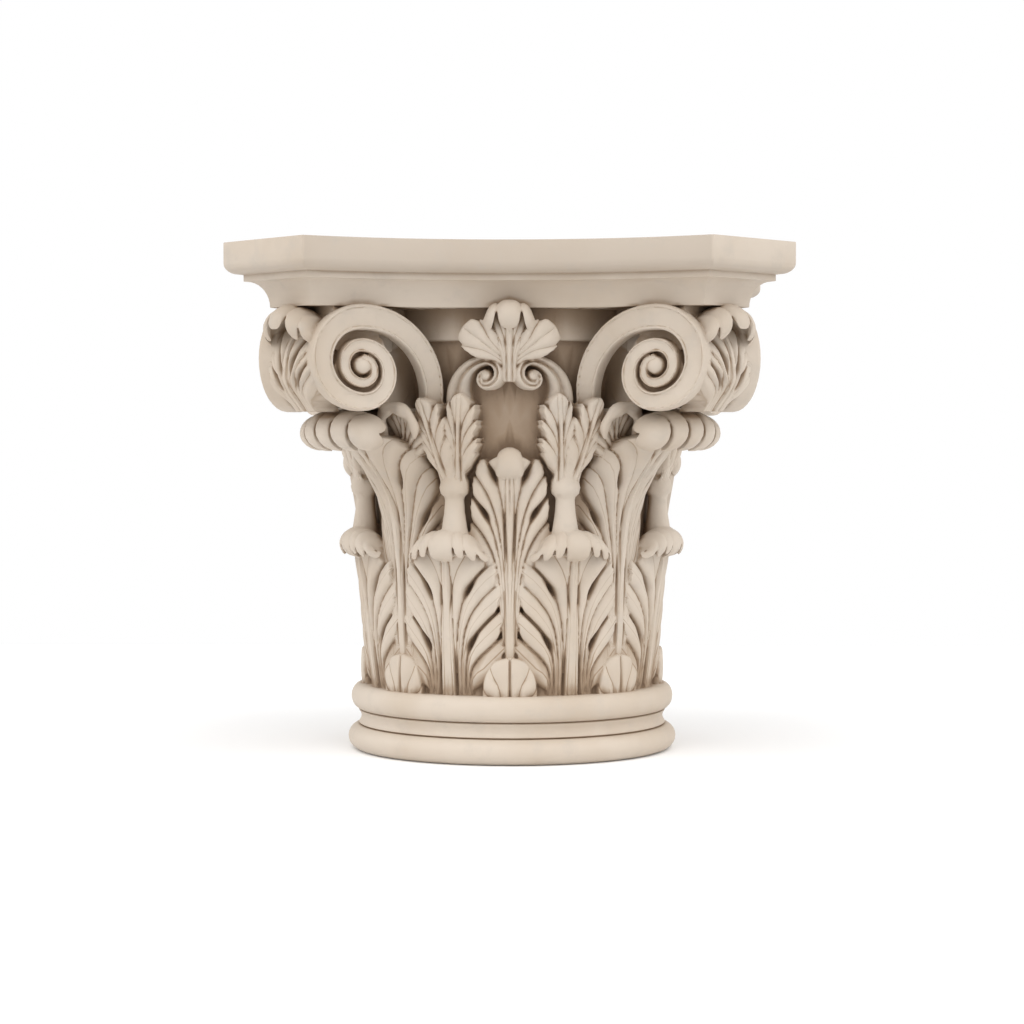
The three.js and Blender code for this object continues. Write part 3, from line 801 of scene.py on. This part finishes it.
def settleWashAndShade(piece):
    points = readPoints(piece)
    normals = np.empty(len(points) * 3)
    piece.data.vertices.foreach_get("normal", normals)
    mine = np.flatnonzero((points[:, 0] > -mm) & (points[:, 0] + points[:, 1] < mm))
    here = points[mine]
    seen = lookOut(piece, here, normals.reshape(-1, 3)[mine])
    radius, z = np.hypot(here[:, 0], here[:, 1]) / mm, here[:, 2] / mm
    ground = 1 - ease((radius - bellRadius(z)) / washAndShadeSetup["ground"])
    ground *= (z > ringTop + washAndShadeSetup["aboveRing"]) & (z < bell["lipTop"])
    lines = np.concatenate(creaseLines)
    line, distance = nearest(lines[:, :3], here)
    crease, spacing, besideRib = lines[line, 3:].T
    full, none = washAndShadeSetup["onLeaf"]
    worked = {"hidden": (1 - seen / (washAndShadeSetup["far"] * mm)).mean(axis=1),
              "shut": (1 - seen / (washAndShadeSetup["near"] * mm)).clip(0).mean(axis=1),
              "ground": ground, "onLeaf": ease((none - distance / mm) / (none - full)),
              "crease": crease, "spacing": spacing, "besideRib": besideRib}

    x, y = np.abs(points[:, 0]), np.abs(points[:, 1])
    folded = np.stack([np.minimum(x, y), -np.maximum(x, y), points[:, 2]], axis=-1)
    match, _ = nearest(here, folded)
    for name, values in worked.items():
        layer = piece.data.attributes.new(name, "FLOAT", "POINT")
        layer.data.foreach_set("value", values[match].astype(np.float32))
        print(name, "mean", round(float(values.mean()), 3), "most", round(float(values.max()), 3))


# Shader maths as plain expressions on sockets
class Wire:
    def __init__(self, tree, socket=None):
        self.tree, self.socket = tree, socket

    def node(self, kind, settings=None, sockets=None, output=0):
        made = self.tree.nodes.new(kind)
        for key, value in (settings or {}).items():
            setattr(made, key, value)
        for key, value in (sockets or {}).items():
            if isinstance(value, Wire):
                self.tree.links.new(value.socket, made.inputs[key])
            else:
                made.inputs[key].default_value = value
        return Wire(self.tree, made.outputs[output])

    def math(self, operation, other=0.0):
        return self.node("ShaderNodeMath", {"operation": operation}, {0: self, 1: other})

    def __add__(self, other):
        return self.math("ADD", other)

    def __sub__(self, other):
        return self.math("SUBTRACT", other)

    def __rsub__(self, other):
        return self.node("ShaderNodeMath", {"operation": "SUBTRACT"}, {0: other, 1: self})

    def __mul__(self, other):
        return self.math("MULTIPLY", other)

    __radd__, __rmul__ = __add__, __mul__

    def between(self, low, high):
        return self.node("ShaderNodeMapRange", {"interpolation_type": "SMOOTHSTEP"},
                         {"Value": self, "From Min": low, "From Max": high})

    def blend(self, a, b):
        return self.node("ShaderNodeMix", {"data_type": "RGBA"}, {0: self, 6: a, 7: b}, 2)


# Pale stone with a brown wash that is partly painted shade, and painted shade on the slab: lengths of the
# slab shade are metres on the object, widths of lines millimetres
stone = {"light": (0.56, 0.483, 0.402, 1), "warm": (0.505, 0.42, 0.333, 1), "grey": (0.47, 0.415, 0.355, 1),
         "slabShade": (0.46, 0.39, 0.32, 1), "brown": (0.27, 0.175, 0.10, 1), "deep": (0.14, 0.085, 0.048, 1),
         "hidden": 0.22, "shut": 1.2, "ground": 0.42,
         "line": 0.3, "lineWidth": (0.1, 0.9), "lineRoom": (1, 3), "lineDepth": 4,
         "slabShadeFrom": (0.452, 0.462), "slabShadeTo": (0.442, 0.4465), "slabShadeCover": 0.65,
         "clouds": (0.4, 0.68), "blotches": (0.5, 0.74), "greyCover": 0.55,
         "brownFrom": (0.14, 0.55), "brownCover": 0.75, "brownStray": 0.16,
         "deepFrom": (0.5, 0.85), "deepCover": 0.65, "deepStray": 0.1,
         "roughness": 0.6, "roughChange": 0.2, "gloss": 0.35,
         "grain": 0.12, "grainDepth": 1.2, "fine": 0.5, "coarse": 0.8}


def makeStone():
    s = stone
    material = bpy.data.materials.new("antiqueStoneAndShade")
    material.use_nodes = True
    tree = material.node_tree
    shader = tree.nodes["Principled BSDF"]
    w = Wire(tree)
    place = w.node("ShaderNodeTexCoord", output=3)

    def noise(scale, detail=4, rough=0.55):
        return w.node("ShaderNodeTexNoise", None,
                      {"Vector": place, "Scale": scale, "Detail": detail, "Roughness": rough})

    cloud, blotch, speck, grain = noise(7), noise(34, 5, 0.65), noise(320, 3), noise(110)
    hidden, shut, ground, onLeaf, crease, spacing, besideRib = (
        w.node("ShaderNodeAttribute", {"attribute_name": name}, output=2)
        for name in ("hidden", "shut", "ground", "onLeaf", "crease", "spacing", "besideRib"))

    # dark crease lines, partly wash and partly painted shade of grooves too fine for the mesh: a crease lies
    # at every whole number but the first, a line on each side of the rib
    away = (crease - crease.math("ROUND")).math("ABSOLUTE") * spacing
    line = crease.math("GREATER_THAN", 0.5) * (1 - away.between(*s["lineWidth"]))
    line = line * spacing.between(*s["lineRoom"])
    ribGrooveShade = 1 - besideRib.math("ABSOLUTE").between(*s["lineWidth"])
    line = line.math("MAXIMUM", ribGrooveShade) * onLeaf
    # brown wash and painted shade together, where a point is hidden, shut in, down on the bell or on a
    # crease line
    washAndShade = hidden * s["hidden"] + shut * s["shut"] + ground * s["ground"] + line * s["line"]

    x, y, z = (w.node("ShaderNodeSeparateXYZ", None, {0: place}, n) for n in range(3))
    aside = x.math("ABSOLUTE") + y.math("ABSOLUTE")
    # painted shade: the slab's hollow sides and top are darker than its cut corners, which stay lighter as
    # if lit from the side
    slabShadeMask = z.between(*s["slabShadeFrom"]) * (1 - aside.between(*s["slabShadeTo"]))
    colour = cloud.between(*s["clouds"]).blend(s["light"], s["warm"])
    colour = (slabShadeMask * s["slabShadeCover"]).blend(colour, s["slabShade"])
    colour = (blotch.between(*s["blotches"]) * s["greyCover"]).blend(colour, s["grey"])
    # the brown, and the near black brown in the deepest hollows, are partly the stone's own wash and partly
    # painted shade
    washAndShadeMask = (washAndShade + (blotch - 0.5) * s["brownStray"]).between(*s["brownFrom"])
    colour = (washAndShadeMask * s["brownCover"]).blend(colour, s["brown"])
    washAndShadeMask = (washAndShade + (speck - 0.5) * s["deepStray"]).between(*s["deepFrom"])
    colour = (washAndShadeMask * s["deepCover"]).blend(colour, s["deep"])
    tree.links.new(colour.socket, shader.inputs["Base Color"])

    rough = s["roughness"] + (blotch - 0.5) * s["roughChange"] + washAndShade * s["roughChange"]
    tree.links.new(rough.socket, shader.inputs["Roughness"])
    relief = speck * s["fine"] + grain * s["coarse"] - line * s["lineDepth"]
    bump = w.node("ShaderNodeBump", None,
                  {"Strength": s["grain"], "Distance": s["grainDepth"] * mm, "Height": relief})
    tree.links.new(bump.socket, shader.inputs["Normal"])
    shader.inputs["Specular IOR Level"].default_value = s["gloss"]
    return material


# Camera at the photograph's height and distance
view = {"distance": 2400, "height": 300, "azimuth": rad(0.8), "tiltDown": rad(1.57),
        "lens": 84.375, "sensor": 36}


def makeCamera():
    at = polar(view["distance"], view["azimuth"], view["height"]) * mm
    bpy.ops.object.camera_add(location=at, rotation=(halfPi - view["tiltDown"], 0, view["azimuth"]))
    camera = bpy.context.object
    camera.data.lens = view["lens"]
    camera.data.sensor_width = view["sensor"]
    bpy.context.scene.camera = camera


# Pale floor, a sky that looks brighter than it lights, and suns given by place, spread and power
studio = {"floor": 2.4, "floorColour": (0.92, 0.92, 0.92, 1), "floorRough": 0.9,
          "sky": 0.36, "backdrop": 1.0,
          "suns": [((-1.0, -0.25, 0.6), 100, 2.1), ((1.0, -0.25, 0.6), 100, 2.1), ((0, -0.7, 1), 70, 1.25)]}


def makeStudio():
    deselect()
    bpy.ops.mesh.primitive_plane_add(size=studio["floor"])
    floor = bpy.context.object
    floor.name = "floor"
    paper = bpy.data.materials.new("paper")
    paper.use_nodes = True
    shader = paper.node_tree.nodes["Principled BSDF"]
    shader.inputs["Base Color"].default_value = studio["floorColour"]
    shader.inputs["Roughness"].default_value = studio["floorRough"]
    floor.data.materials.append(paper)
    world = bpy.data.worlds.new("studio")
    world.use_nodes = True
    sky = world.node_tree.nodes["Background"]
    seen = Wire(world.node_tree).node("ShaderNodeLightPath")
    strength = studio["sky"] + seen * (studio["backdrop"] - studio["sky"])
    world.node_tree.links.new(strength.socket, sky.inputs["Strength"])
    sky.inputs["Color"].default_value = (1, 1, 1, 1)
    bpy.context.scene.world = world
    for place, spread, power in studio["suns"]:
        bpy.ops.object.light_add(type="SUN", location=place)
        lamp = bpy.context.object
        lamp.data.angle, lamp.data.energy = rad(spread), power
        lamp.rotation_euler = (-lamp.location).to_track_quat("-Z", "Y").to_euler()
    settings = bpy.context.scene.view_settings
    settings.view_transform, settings.look = "Standard", "None"


makeCamera()
makeStudio()
print("studio ready")

capital = withoutCrumbs(makeRound(cutEighth(makeEighth())))
capital = unite(capital, makeRing())
capital = withoutCrumbs(unite(capital, makeAbacus()))
applied(capital, "TRIANGULATE")
print("capital:", len(capital.data.polygons), "triangles")
pick(capital)
bpy.ops.object.shade_smooth_by_angle(angle=rad(32))
settleWashAndShade(capital)
capital.data.materials.clear()
capital.data.materials.append(makeStone())

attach(capital, "root")
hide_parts("corinthian_capital")
